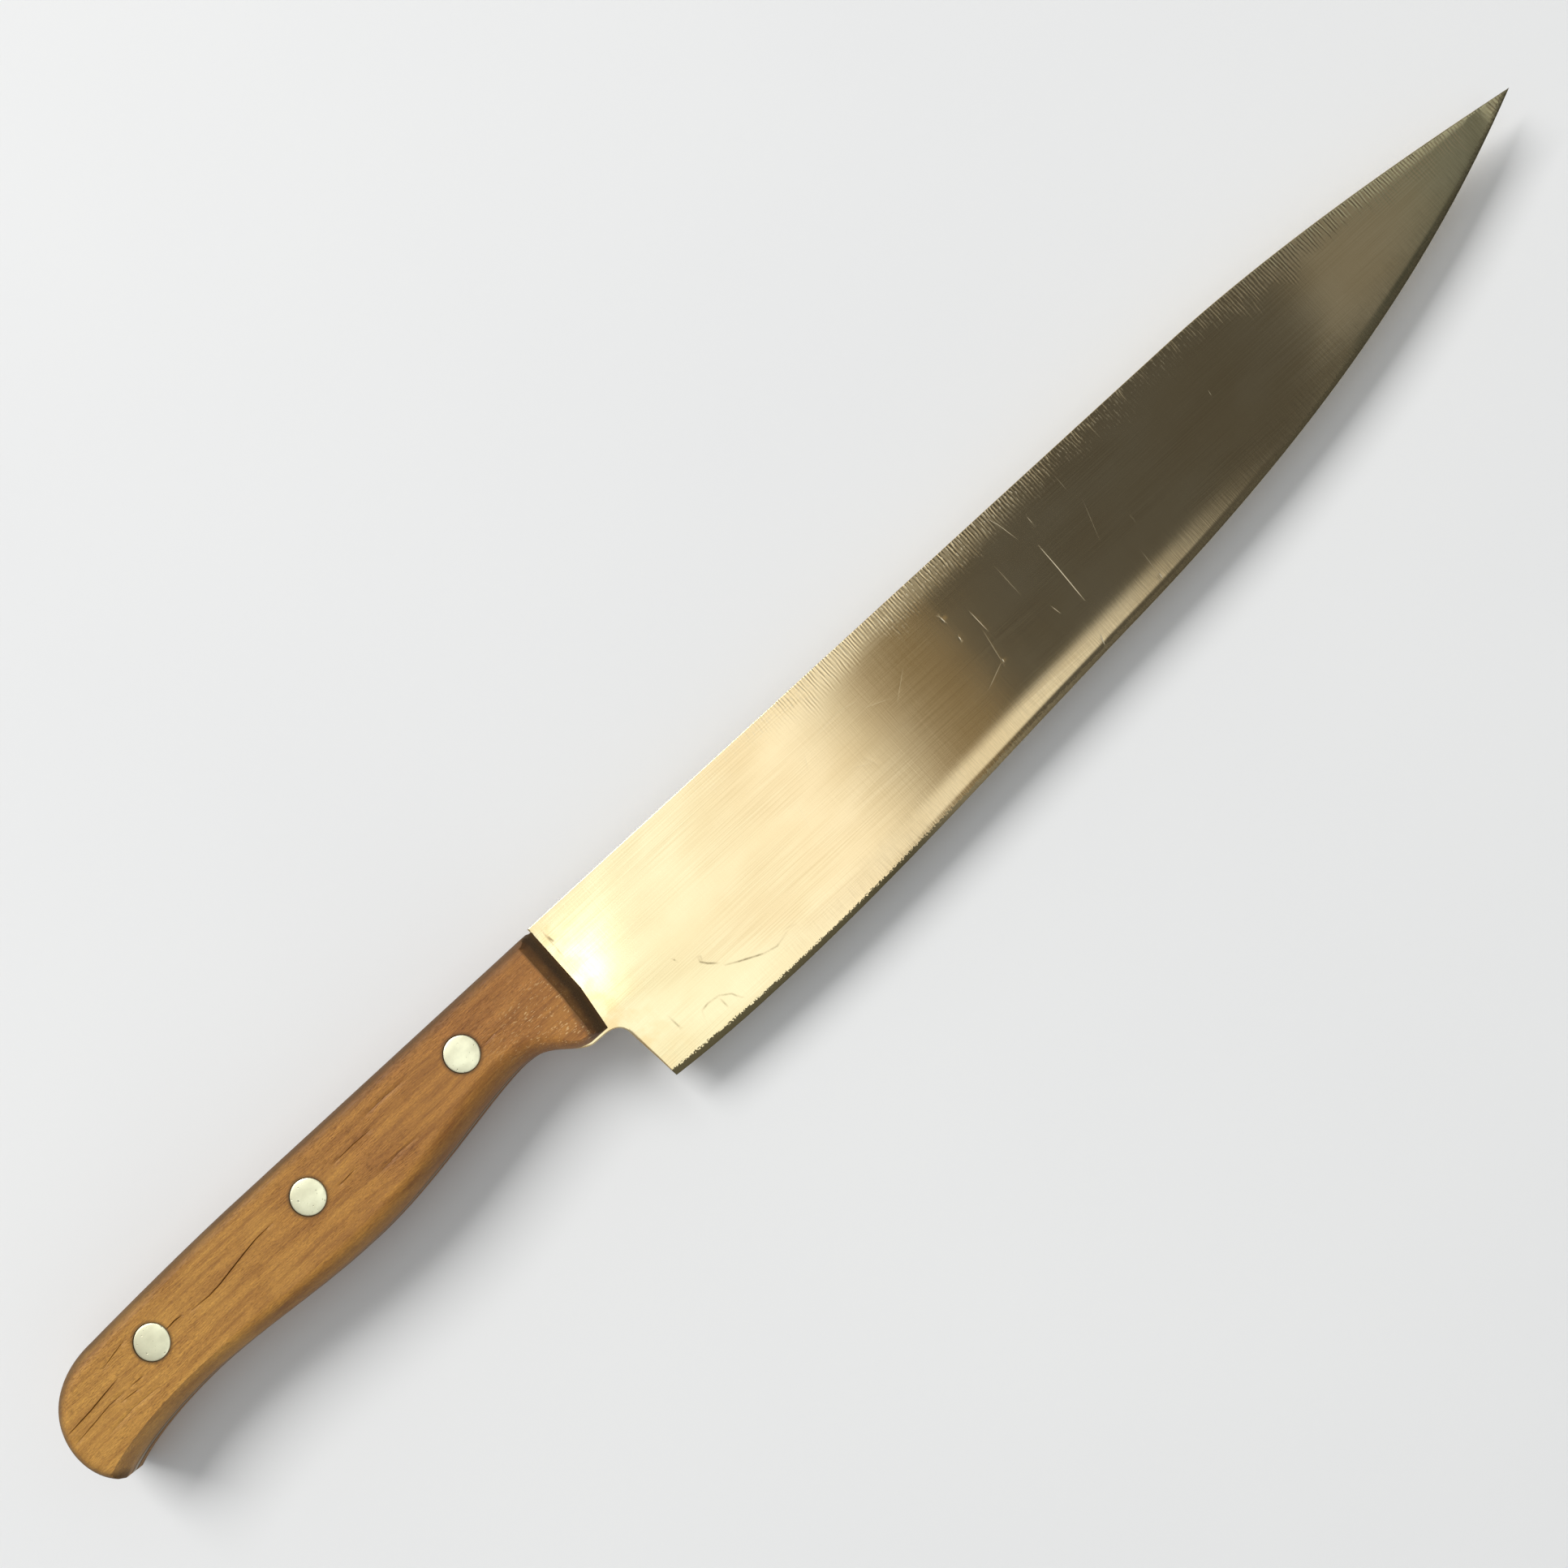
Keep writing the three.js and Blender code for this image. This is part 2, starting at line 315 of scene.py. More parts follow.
SPINE_BAND = 4  # width of the flat beside the spine
FULL_HEIGHT = 38  # a narrower blade is thinner, down to the least taper
LEAST_TAPER = 0.1
TAPER_POWER = 0.8
THINNING_WIDTH = 6.2
THINNING_SHARE = 0.457  # thickness left at the start of the thinning, as a share of the spine's
BEVEL_WIDTH = 1.6
BEVEL_SHARE = 0.208
EDGE_HALF = 0.04
LEAST_HALF = 0.02
LEAST_AT_TIP = 0.01  # keeps widths and shares above 0 where the blade's height ends
CROWDED_HEIGHT = 24  # where the blade is narrower than this, the grind lines move together
TANG_END = -2  # the grinding starts here, just behind the front of the scales
TANG_BLEND = 2
FLANK_BLEND = 45  # over this length from the handle the flanks take on their full taper
RIDGE_SOFTNESS = (0.05, 0.08, 0.03)  # beside the flat, the thinning and the bevel, as thickness shares

spine_path = np.vstack([loop(SPINE), [TIP]])
edge_path = np.vstack([loop(EDGE), [HEEL]])[::-1]


def blade_lines(x):
    """(y of the spine, y of the edge) at each x."""
    top = np.interp(x, spine_path[:, 0], spine_path[:, 1])
    bottom = np.interp(x, edge_path[:, 0], edge_path[:, 1])
    return top, bottom


def soft_step(t):
    t = np.clip(t, 0, 1)
    return t * t * (3 - 2 * t)


def soft_least(a, b, width):
    """The lesser of two values, rounded where they are within a width of each other."""
    near = np.clip(0.5 + 0.5 * (b - a) / width, 0, 1)
    return b + (a - b) * near - width * near * (1 - near)


def half_thickness(plan):
    """Half the thickness of the steel: flat by the spine, tapering, thinned behind the edge, bevelled."""
    x, y = plan[:, 0], plan[:, 1]
    top, bottom = blade_lines(x)
    height = top - bottom
    from_edge = np.clip(y - bottom, 0, None)
    taper = np.clip((height / FULL_HEIGHT) ** TAPER_POWER, LEAST_TAPER, 1)
    crowding = np.clip(height / CROWDED_HEIGHT, LEAST_AT_TIP, 1)
    full = FULL_HALF * taper
    thinning = THINNING_WIDTH * crowding
    bevel = BEVEL_WIDTH * crowding
    flank = np.maximum(height - SPINE_BAND * crowding - thinning, LEAST_AT_TIP)
    main = full * THINNING_SHARE + (from_edge - thinning) * full * (1 - THINNING_SHARE) / flank
    thin_slope = full * (THINNING_SHARE - BEVEL_SHARE) / (thinning - bevel)
    thin = full * BEVEL_SHARE + (from_edge - bevel) * thin_slope
    fine = EDGE_HALF + from_edge * np.maximum(full * BEVEL_SHARE - EDGE_HALF, 0) / bevel
    main = full + (main - full) * soft_step(x / FLANK_BLEND)
    half = full
    for surface, softness in zip((main, thin, fine), RIDGE_SOFTNESS):
        half = soft_least(half, surface, softness * full)
    ground = soft_step((x - TANG_END) / TANG_BLEND)
    return FULL_HALF + (np.maximum(half, LEAST_HALF) - FULL_HALF) * ground


SCRATCH_DEPTH = 0.004
scratches = Marks(0.13, {
    1.0: [
        [(125.3, -12.3), (125.1, -18), (124.6, -26.4)],
        [(122.3, -33.4), (121.6, -35.4)],
        [(139, -32.3), (138.8, -33.5)],
        [(101.5, -9.6), (101.6, -11)],
        [(101.6, -14.9), (101.5, -15.7)],
        [(104.9, -23.9), (104.8, -24.6)],
    ],
    0.5: [
        [(121.1, -0.6), (122.3, -4), (123.1, -8.6)],
        [(119, -22.7), (119.4, -25.1)],
        [(106.5, -12.7), (106.6, -18)],
        [(170.6, -12.2), (170.3, -13.6)],
        [(127.5, -6.5), (127.4, -8.4)],
    ],
    0.25: [
        [(137.9, -11.2), (134.7, -20)],
        [(106, -16.8), (104.3, -25.4)],
        [(139.4, -26.5), (138.8, -32)],
        [(116.2, -9.5), (116.1, -17.1)],
        [(137, -4), (136.8, -8)],
        [(99, -26.5), (104.5, -24.2)],
        [(142.6, -19.8), (142.4, -22)],
    ],
    0.14: [
        [(63.6, -11.5), (61.9, -14.5)],
        [(71.9, -19.8), (73, -23)],
        [(69, -20), (72.1, -21.6)],
        [(78.5, -12.7), (83.1, -14.6)],
        [(56, -17.4), (54.8, -22.7)],
        [(84, -16.2), (89.3, -12.1)],
        [(68.2, -10.3), (74.5, -9.7), (79, -10.9)],
    ],
})
stains = Marks(0.3, {
    1.0: [
        [(21.3, -26.5), (21, -27.7), (21.9, -28.9), (23.4, -30.2)],
        [(24.2, -31.4), (26.6, -32.7), (29.2, -33.9), (31.3, -34.9), (34.2, -35.6), (37.8, -34.8)],
    ],
    0.8: [
        [(14.2, -36.3), (14.8, -35), (16.6, -34.7), (19.2, -35), (21.3, -36.4), (22.3, -38.3)],
        [(9.2, -31.3), (9.4, -34.4)],
        [(17.4, -23.7), (17.6, -24.3)],
        [(21, -26.6), (21.8, -26.9), (21.4, -27.7)],
        [(2.1, -3.6), (2.4, -5.6)],
    ],
    0.5: [
        [(19, -35.2), (19.1, -37.9)],
        [(2, -1.8), (1.8, -8.5)],
        [(37.5, -34.2), (39.5, -34.6)],
    ],
})

RIM_RADIUS = 0.25
SPINE_RIM_RADIUS = 0.12
RIM_STEPS = (30, 60, 90)  # degrees of the rounding of the rim
RIM_SHARE = 0.6  # a rim is no wider than this share of half the thickness beside it
RIM_PROBE = 0.3  # that thickness is read this far inside the outline
RIM_CLEARANCE = 0.22  # no free points lie nearer to the rim or to a hole
TANG_HOLE_SEGMENTS = 48
EDGE_ROWS = np.array([0.35, 0.7, 1.1, 1.5, 1.9, 2.3, 2.8, 3.4, 4.2, 5.2, 6.3, 7.5])
SPINE_ROWS = np.array([0.6, 1.2, 2, 2.8, 3.4, 4, 4.6, 5.4])
BETWEEN_ROWS = np.linspace(0, 1, 24)[1:-1]
ROWS_HEIGHT = EDGE_ROWS[-1] + SPINE_ROWS[-1] + 6  # where the blade is narrower, the rows move together
BLADE_COLUMNS = np.arange(0.9, BLADE_LENGTH - 1, 1.0)
BUTT_END = -134
GRID_TOP = -1
TANG_GRID = (-24, 3.0)  # the lowest y of the free points over the tang, and their pitch


def grid(bottom, pitch):
    """Points a pitch apart over the length of the handle, from a lowest y up to its back."""
    across, up = np.meshgrid(np.arange(BUTT_END, 0, pitch), np.arange(bottom, GRID_TOP, pitch))
    return np.stack([across, up], axis=-1).reshape(-1, 2)


def blade_lattice():
    """Points over the blade in rows that follow the edge and the spine, closer together near both."""
    points = []
    for x in BLADE_COLUMNS:
        top, bottom = blade_lines(x)
        crowding = min(1, (top - bottom) / ROWS_HEIGHT)
        low = bottom + EDGE_ROWS * crowding
        high = top - SPINE_ROWS * crowding
        rows = np.concatenate([low, low[-1] + BETWEEN_ROWS * (high[-1] - low[-1]), high])
        points.append(np.column_stack([np.full(len(rows), x), rows]))
    return np.vstack(points)


def distances(points):
    """How far points are from the line of the spine and from that of the edge."""
    top, bottom = blade_lines(points[:, 0])
    return {"from_spine": top - points[:, 1], "from_edge": points[:, 1] - bottom}


def blade():
    """The blade and the tang in one piece of steel, with three holes for the rivets."""
    closing = [[TOP_CURVE_START, (0, -TOP_STEP)], [(0, -TOP_STEP), (0, 0)]]
    outline = loop(SPINE + EDGE + CHOIL + UNDERSIDE + BACK + closing)
    normal = inward(outline)
    by_spine = (outline[:, 0] >= 0) & (outline[:, 1] > blade_lines(outline[:, 0])[0] - TOUCHING)
    radius = np.where(by_spine, SPINE_RIM_RADIUS, RIM_RADIUS)
    radius = np.minimum(radius, RIM_SHARE * half_thickness(outline + RIM_PROBE * normal))
    ring = outline + normal * radius[:, None]
    holes = [circle(place, SHANK_HOLE_RADIUS, TANG_HOLE_SEGMENTS) for place in RIVETS.values()]

    free = np.vstack([blade_lattice(), grid(*TANG_GRID)])
    free = free[inside(free, ring)]
    for path in [ring] + holes:
        free = free[nearest(free, path, closed=True)[0] > RIM_CLEARANCE]
    free = stains.clear(scratches.clear(free))
    free = np.vstack([free, scratches.rows(), stains.rows()])

    plan, faces = triangulate([ring] + holes, free)
    half = half_thickness(plan)
    scratch = scratches.strength(plan)
    stain = stains.strength(plan)
    steel = Surface()
    height = MID_Z + half - SCRATCH_DEPTH * scratch
    upper = steel.add(plan, height, scratch=scratch, stain=stain, **distances(plan))
    lower = steel.add(plan, MID_Z - half, scratch=0, stain=0, **distances(plan))
    steel.faces += [[upper + i for i in face] for face in faces]
    steel.faces += [[lower + i for i in reversed(face)] for face in faces]

    count = len(outline)
    rim = {"scratch": 0, "stain": 0, **distances(outline)}
    rings = []
    for angle in RIM_STEPS:
        turn = math.radians(angle)
        place = outline + normal * (radius * (1 - math.sin(turn)))[:, None]
        rings.append((place, half[:count] - radius * (1 - math.cos(turn))))
    rings += [(place, -height) for place, height in reversed(rings)]
    last = upper
    for place, height in rings:
        new = steel.add(place, MID_Z + height, **rim)
        steel.bridge(last, new, count)
        last = new
    steel.bridge(last, lower, count)
    at = count
    for hole in holes:
        steel.bridge(upper + at, lower + at, len(hole))
        at += len(hole)
    return steel.build("blade", "blade_and_tang", BLADE_SHARP_ANGLE)


# ---- The shape of the scales ---------------------------------------------------------------------

ROUND_DEPTH = 4.4
ROUND_ANGLES = (16, 30, 44, 58, 72, 90)  # degrees of the rounding where rows of points lie
FLAT_REACH = 0.05  # the outer face counts as flat where rounding() finds less than this
FRONT_LEAN = 0.45  # how far the front of a scale leans back over the height of its wall
FRONT_LEAN_WIDTH = 4  # the outer face moves back with it over this width
HOLE_SEGMENTS = 64
SCALE_GRID = (-26, 1.0)  # the lowest y of the lattice over a scale, and its pitch
HEAD_CLEARANCE = 0.15  # no crack lies nearer to a rivet's head
HEAD_SPACE = 1  # no point of the lattice lies nearer to it
HEAD_RINGS = (0.25, 0.7)  # rings of points round it, by how far they are from it
ROW_SHARE = 0.95  # a point of a row stays if the outline is no nearer than this share of its depth
ROW_CLEARANCE = 0.04  # no row lies nearer to the outline
CRACK_DEPTH = 0.3

# How dark the wood is made by the distance from a rivet's head (dirt), from the front (dirt and painted
# shade) and from the back of the handle (painted shade). Each is a list of distances, and of how dark it is
# there.
HEAD_GRIME = ([0, 0.5], [1, 0])
FRONT_DIRT_AND_SHADE = ([0, 0.8, 1.3, 2.6, 3.1], [1.15, 1.1, 0.78, 0.68, 0])
BACK_PAINTED_SHADE = ([0, 1.0, 1.7, 2.7], [0.92, 0.88, 0.55, 0])
# The front wall of a scale is darkened with dirt and painted shade.
FRONT_WALL_DIRT_AND_SHADE = 0.9

# Rings down the wall of a scale: height over the tang, share of the front's lean, and darkness, rising
# towards the tang.
WALL_RINGS = ((1.6, 0.35, 0), (0.4, 0.05, 0.6), (0, 0, 1))


class Side:
    """One smooth stretch of a scale's outline. The widths of its rounding are spaced evenly along it, and
    so is how crisp that is: 0 is a round, and 1 a flat chamfer."""

    def __init__(self, stretches, widths, crispness):
        self.path = np.vstack([loop(stretches), [stretches[-1][-1]]])
        self.widths = widths
        self.crispness = crispness

    def along(self, place, values):
        share = np.asarray(place) / (len(self.path) - 1)
        return np.interp(share, np.linspace(0, 1, len(values)), values)


chin = [SCALE_CHIN, (-9.8, -24.2), (-10.2, -19.5), NECK]
FRONT = Side(
    [[SCALE_FRONT_TOP, SCALE_FRONT_BEND], [SCALE_FRONT_BEND, SCALE_CORNER]],
    widths=[2.6, 2.6, 2.5, 1.7],
    crispness=[0.7],
)
BELOW = Side(
    [[SCALE_CORNER, SCALE_CHIN], chin] + UNDERSIDE,
    widths=[0.8, 1.8, 3.6, 4.2, 3.9, 3.4, 3.1, 3.0, 2.9, 2.8, 2.6, 2.3, 2.2, 2.1, 2.0],
    crispness=[0.3, 0.2, 0.2, 0.2, 0.2, 0.2, 0.3, 0.6, 0.8],
)
ABOVE = Side(
    BACK + [[TOP_CURVE_START, SCALE_FRONT_TOP]],
    widths=[1.6, 2.8, 2.8, 2.3, 2.1, 2.1, 2.1, 2.1],
    crispness=[0.2, 0],
)
SIDES = [FRONT, BELOW, ABOVE]
BLENDING = 8  # the higher, the sharper the ridges where two sides meet
LEAST_TOTAL = 1e-12  # keeps the sum over the sides above 0 on the flat, because it divides


def rounding(plan):
    """For each point of a scale: how far its outer face has dropped because of its rounded sides, and how
    near it is to the outline, from 0 on the flat to 1."""
    total = np.full(len(plan), LEAST_TOTAL)
    crisp = np.zeros(len(plan))
    for side in SIDES:
        gap, place = nearest(plan, side.path, closed=False)
        part = np.clip(1 - gap / side.along(place, side.widths), 0, 1) ** BLENDING
        total += part
        crisp += part * side.along(place, side.crispness)
    crisp /= total
    reach = np.clip(total ** (1 / BLENDING), 0, 1)
    round_drop = 1 - np.sqrt(1 - reach**2)
    return ROUND_DEPTH * (round_drop * (1 - crisp) + reach * crisp), reach


def scale_rows(outline):
    """Points at set turns of the rounding along each side, where no other side is nearer."""
    found = []
    for side in SIDES:
        ahead = np.gradient(side.path, axis=0)
        into = np.stack([ahead[:, 1], -ahead[:, 0]], axis=1)
        into /= np.linalg.norm(into, axis=1)[:, None]
        widths = side.along(np.arange(len(side.path)), side.widths)
        for angle in ROUND_ANGLES:
            depth = widths * (1 - math.cos(math.radians(angle)))
            row = side.path + into * depth[:, None]
            gap = nearest(row, outline, closed=True)[0]
            found.append(row[(gap > ROW_SHARE * depth) & (gap > ROW_CLEARANCE)])
    return np.vstack(found)


def scale_points(outline, heads, cracks):
    """The free points of a scale's outer face: a lattice on the flat, and rows by the sides, the rivets'
    heads and the cracks."""
    lattice = grid(*SCALE_GRID)
    lattice = lattice[inside(lattice, outline)]
    lattice = lattice[rounding(lattice)[1] < FLAT_REACH]
    marks = cracks.rows()
    for head in heads:
        lattice = lattice[nearest(lattice, head, closed=True)[0] > HEAD_SPACE]
        lattice = lattice[~inside(lattice, head)]
        marks = marks[~inside(marks, head)]
        marks = marks[nearest(marks, head, closed=True)[0] > HEAD_CLEARANCE]
    near_heads = [
        circle(place, HEAD_HOLE_RADIUS + gap, HOLE_SEGMENTS)
        for place in RIVETS.values() for gap in HEAD_RINGS
    ]
    free = cracks.clear(np.vstack([lattice, scale_rows(outline)] + near_heads))
    return np.vstack([free, marks])


def grime_at(plan, heads):
    """How dark the outer face of a scale is made: dirt around the rivets, dirt and painted shade at the
    front, and painted shade along the back.
    """
    head_gap = np.min([nearest(plan, head, closed=True)[0] for head in heads], axis=0)
    front_gap = nearest(plan, FRONT.path, closed=False)[0]
    back_gap = nearest(plan, ABOVE.path, closed=False)[0]
    by_side = np.maximum(np.interp(front_gap, *FRONT_DIRT_AND_SHADE), np.interp(back_gap, *BACK_PAINTED_SHADE))
    return np.maximum(np.interp(head_gap, *HEAD_GRIME), by_side)


def scale(name, node, direction, cracks):
    """One wooden scale. direction is 1 above the tang and -1 below it."""
    outline = np.vstack([side.path[:-1] for side in SIDES])
    count = len(outline)
    heads = [circle(place, HEAD_HOLE_RADIUS, HOLE_SEGMENTS) for place in RIVETS.values()]
    shanks = [circle(place, SHANK_HOLE_RADIUS, HOLE_SEGMENTS) for place in RIVETS.values()]
    plan, faces = triangulate([outline] + heads, scale_points(outline, heads, cracks))
    drop, reach = rounding(plan)
    crack = cracks.strength(plan)

    def level(z):
        return MID_Z + direction * (z - MID_Z)

    leaning = nearest(outline, FRONT.path, closed=False)[0] < TOUCHING
    lean = inward(outline) * (FRONT_LEAN * leaning)[:, None]
    front_gap = nearest(plan[count:], FRONT.path, closed=False)[0]
    moved = plan.copy()
    moved[:count] += lean
    moved[count:, 0] -= FRONT_LEAN * np.clip(1 - front_gap / FRONT_LEAN_WIDTH, 0, 1)

    wood = Surface()
    height = level(HANDLE_TOP - drop - CRACK_DEPTH * crack)
    outer = wood.add(moved, height, crack=crack, grime=grime_at(plan, heads), rounded=reach)
    wood.faces += [[outer + i for i in face] for face in faces]
    last = outer
    for above_tang, share, dirt_and_shade in WALL_RINGS:
        # the front wall gets dirt with painted shade
        dirt_and_shade = np.maximum(dirt_and_shade, np.where(leaning, FRONT_WALL_DIRT_AND_SHADE, 0))
        place = outline + lean * share
        new = wood.add(place, level(TANG_TOP + above_tang), crack=0, grime=dirt_and_shade, rounded=1)
        wood.bridge(last, new, count)
        last = new

    # The inner face shares the last ring, and has points of its own around the rivets' holes.
    flat, inner_faces = triangulate([outline] + shanks, np.zeros((0, 2)))
    bores = wood.add(flat[count:], level(TANG_TOP), crack=0, grime=0.5, rounded=0)
    for face in inner_faces:
        wood.faces.append([last + i if i < count else bores + i - count for i in face])
    for index, (head, shank) in enumerate(zip(heads, shanks)):
        at = index * HOLE_SEGMENTS
        seat = level(HANDLE_TOP - HEAD_SEAT)
        wide = wood.add(head, seat, crack=0, grime=1, rounded=0)
        narrow = wood.add(shank, seat, crack=0, grime=1, rounded=0)
        rings = (outer + count + at, wide, narrow, bores + at)
        for first, second in zip(rings[:-1], rings[1:]):
            wood.bridge(first, second, HOLE_SEGMENTS)
    return wood.build(name, node, SCALE_SHARP_ANGLE)


cracks_above = Marks(0.17, {
    1.0: [
        [(-96, -11.3), (-91.8, -11.5), (-88.6, -11.2), (-85.7, -10.7),
         (-81.5, -10), (-77.9, -9.5), (-73.3, -9.4)],
        [(-102.3, -10.7), (-100, -10.5), (-98.2, -10.7)],
        [(-130.4, -13), (-123.5, -12.4), (-119.3, -11.8), (-115.7, -11.4)],
    ],
    0.6: [
        [(-130.5, -15.4), (-125.4, -14.8), (-120.3, -14.1), (-116.4, -14.2)],
        [(-116.4, -8), (-113, -7.3), (-109.8, -6.7)],
        [(-114.6, -14.2), (-111.4, -14.3)],
        [(-118, -15.2), (-113.6, -15.6)],
        [(-57, -8.9), (-51.5, -8.7), (-47, -8.9)],
        [(-59, -12.8), (-54.5, -12.5)],
    ],
    0.35: [
        [(-47, -6.2), (-41, -6), (-35.5, -6.3)],
        [(-52, -16.3), (-46, -15.8), (-41, -16.1)],
        [(-20, -11.6), (-16.5, -11.3)],
        [(-124, -18.3), (-117, -17.6), (-110, -17.9)],
    ],
})
cracks_below = Marks(0.17, {
    1.0: [
        [(-129.5, -9.6), (-124, -10.1), (-118.4, -10), (-112.5, -10.4)],
        [(-84, -13.2), (-79, -13.6), (-74.2, -13.4)],
    ],
})

# ---- Rivets --------------------------------------------------------------------------------------

HEAD_THICKNESS = 2
TUBE_RADIUS = 2.4
TUBE_BORE_RADIUS = 1.6
PIN_RADIUS = 1.55
PIN_LENGTH = 10
TUBE_END_GAP = 0.5
TUBE_CHAMFER = (0.15, 0.2)  # inwards and along
PIN_CHAMFER = (0.3, 0.4)
DOME = 0.09
HEAD_SEGMENTS = 72
HEAD_PROFILE = [
    # (radius, depth below the outer face)
    (0.5, 0), (1.4, 0.01), (2.3, 0.03), (3.0, 0.06), (3.35, DOME),
    (3.56, DOME + 0.02), (3.65, DOME + 0.06), (HEAD_RADIUS, DOME + 0.14), (HEAD_RADIUS, HEAD_THICKNESS),
]


def turned(name, node, place, profile, direction, outer_z):
    """A turned piece from (radius, depth below the outer face) pairs. It is closed at both ends."""
    metal = Surface()
    rings = []
    for radius, depth in profile:
        rings.append(metal.add(circle(place, radius, HEAD_SEGMENTS), outer_z - direction * depth))
    for first, second in zip(rings[:-1], rings[1:]):
        metal.bridge(first, second, HEAD_SEGMENTS)
    for ring, (_, depth) in ((rings[0], profile[0]), (rings[-1], profile[-1])):
        middle = metal.add(np.array([place], float), outer_z - direction * depth)
        for i in range(HEAD_SEGMENTS):
            metal.faces.append((ring + i, ring + (i + 1) % HEAD_SEGMENTS, middle))
    return metal.build(name, node, RIVET_SHARP_ANGLE)


def rivet(name, place):
    """The tube half from below, and the half from above whose pin is pressed into the tube."""
    tube_end = HANDLE_TOP - HEAD_THICKNESS - TUBE_END_GAP
    tube = HEAD_PROFILE + [
        (TUBE_RADIUS, HEAD_THICKNESS),
        (TUBE_RADIUS, tube_end - TUBE_CHAMFER[1]),
        (TUBE_RADIUS - TUBE_CHAMFER[0], tube_end),
        (TUBE_BORE_RADIUS, tube_end),
        (TUBE_BORE_RADIUS, HEAD_THICKNESS),
    ]
    pin_end = HEAD_THICKNESS + PIN_LENGTH
    pin = HEAD_PROFILE + [
        (PIN_RADIUS, HEAD_THICKNESS),
        (PIN_RADIUS, pin_end - PIN_CHAMFER[1]),
        (PIN_RADIUS - PIN_CHAMFER[0], pin_end),
    ]
    female = f"{name}_rivet_female"
    male = f"{name}_rivet_male"
    return {
        female: turned(f"{name}_rivet_tube_half", female, place, tube, -1, 0),
        male: turned(f"{name}_rivet_pin_half", male, place, pin, 1, HANDLE_TOP),
    }


# ---- Node trees ----------------------------------------------------------------------------------

class Nodes:
    """A tree of shader nodes. Each value given to a node is a number, a vector or another node's output."""

    def __init__(self, tree):
        self.tree = tree

    def feed(self, socket, value):
        if isinstance(value, bpy.types.NodeSocket):
            self.tree.links.new(value, socket)
        else:
            socket.default_value = value

    def node(self, kind, inputs, **settings):
        """Adds a node, and returns its outputs."""
        made = self.tree.nodes.new(kind)
        for key, value in settings.items():
            setattr(made, key, value)
        for key, value in inputs.items():
            self.feed(made.inputs[key], value)
        return made.outputs

    def math(self, operation, a, b, clamp=False):
        return self.node("ShaderNodeMath", {0: a, 1: b}, operation=operation, use_clamp=clamp)[0]

    def product(self, a, b):
        return self.math("MULTIPLY", a, b)

    def between(self, value, low, high, to_low=0.0, to_high=1.0, smooth=False):
        """value mapped from low..high to to_low..to_high, and kept within them."""
        inputs = {"Value": value, 1: low, 2: high, 3: to_low, 4: to_high}
        kind = "SMOOTHSTEP" if smooth else "LINEAR"
        return self.node("ShaderNodeMapRange", inputs, interpolation_type=kind)[0]

    def mix(self, share, under, over):
        """One colour with a share of another over it. A colour is three numbers or an output."""
        colours = [c if isinstance(c, bpy.types.NodeSocket) else (*c, 1) for c in (under, over)]
        return self.node("ShaderNodeMix", {0: share, 6: colours[0], 7: colours[1]}, data_type="RGBA")[2]


class Look(Nodes):
    """A material whose textures are laid out in the drawing frame, in millimetres."""

    def __init__(self, name):
        self.material = bpy.data.materials.new(name)
        self.material.use_nodes = True
        super().__init__(self.material.node_tree)
        self.shader = self.tree.nodes["Principled BSDF"]
        self.place = self.node("ShaderNodeMapping", {
            "Vector": self.node("ShaderNodeTexCoord", {})["Object"],
            "Scale": (1 / MM,) * 3,
            "Location": tuple(-ORIGIN),
        })[0]

    def noise(self, repeats, detail=2.0, roughness=0.5, place=None):
        """A noise with more repeats along the axes that have larger numbers."""
        stretched = self.node("ShaderNodeMapping", {"Vector": place or self.place, "Scale": repeats})[0]
        return self.node("ShaderNodeTexNoise", {
            "Vector": stretched,
            "Scale": 1.0,
            "Detail": detail,
            "Roughness": roughness,
        })[0]

    def ramp(self, value, colours):
        """Colours spaced evenly over values from 0 to 1."""
        made = self.tree.nodes.new("ShaderNodeValToRGB")
        self.feed(made.inputs[0], value)
        elements = made.color_ramp.elements
        while len(elements) < len(colours):
            elements.new(0.5)
        for index, (element, colour) in enumerate(zip(elements, colours)):
            element.position = index / (len(colours) - 1)
            element.color = (*colour, 1)
        return made.outputs[0]

    def value(self, name):
        """A value that the mesh holds at each point."""
        return self.node("ShaderNodeAttribute", {}, attribute_name=name)["Fac"]

    def axis(self, index):
        return self.node("ShaderNodeSeparateXYZ", {0: self.place})[index]

    def bump(self, height, distance):
        """distance is the height in millimetres that a value of 1 stands for."""
        return self.node("ShaderNodeBump", {"Height": height, "Distance": distance * MM})[0]

    def finish(self, **inputs):
        """Sets the shader's own sockets, by name with spaces written as underscores."""
        for key, value in inputs.items():
            self.feed(self.shader.inputs[key.replace("_", " ")], value)
        return self.material


# ---- Materials -----------------------------------------------------------------------------------

HATCH_TURN = 2 * math.pi / 0.7  # the hatch by the spine has a line every 0.7 mm
HATCH_HEIGHT = 1.1
STRAW = (0.77, 0.635, 0.385)
STRAW_SHADE = (0.715, 0.57, 0.325)
BRUSHED_LINE = (0.60, 0.465, 0.25)
# colour of the grinding lines across the blade, also used for painted shade in the hatch's troughs
GROUND_LINE_AND_TROUGH_SHADE = (0.50, 0.40, 0.24)
BLOOM = (0.68, 0.44, 0.19)
# pale colour of fresh scratches, also used for the painted glints on the hatch
FRESH_CUT_AND_GLINT = (0.92, 0.86, 0.7)
STAIN = (0.15, 0.105, 0.045)
# painted shade along the cutting edge, for the bevel's dark reflection
EDGE_SHADE_PAINT = (0.065, 0.053, 0.024)
# painted shade and tarnish on the rim of the tang
TARNISH_AND_SHADE = (0.16, 0.125, 0.085)


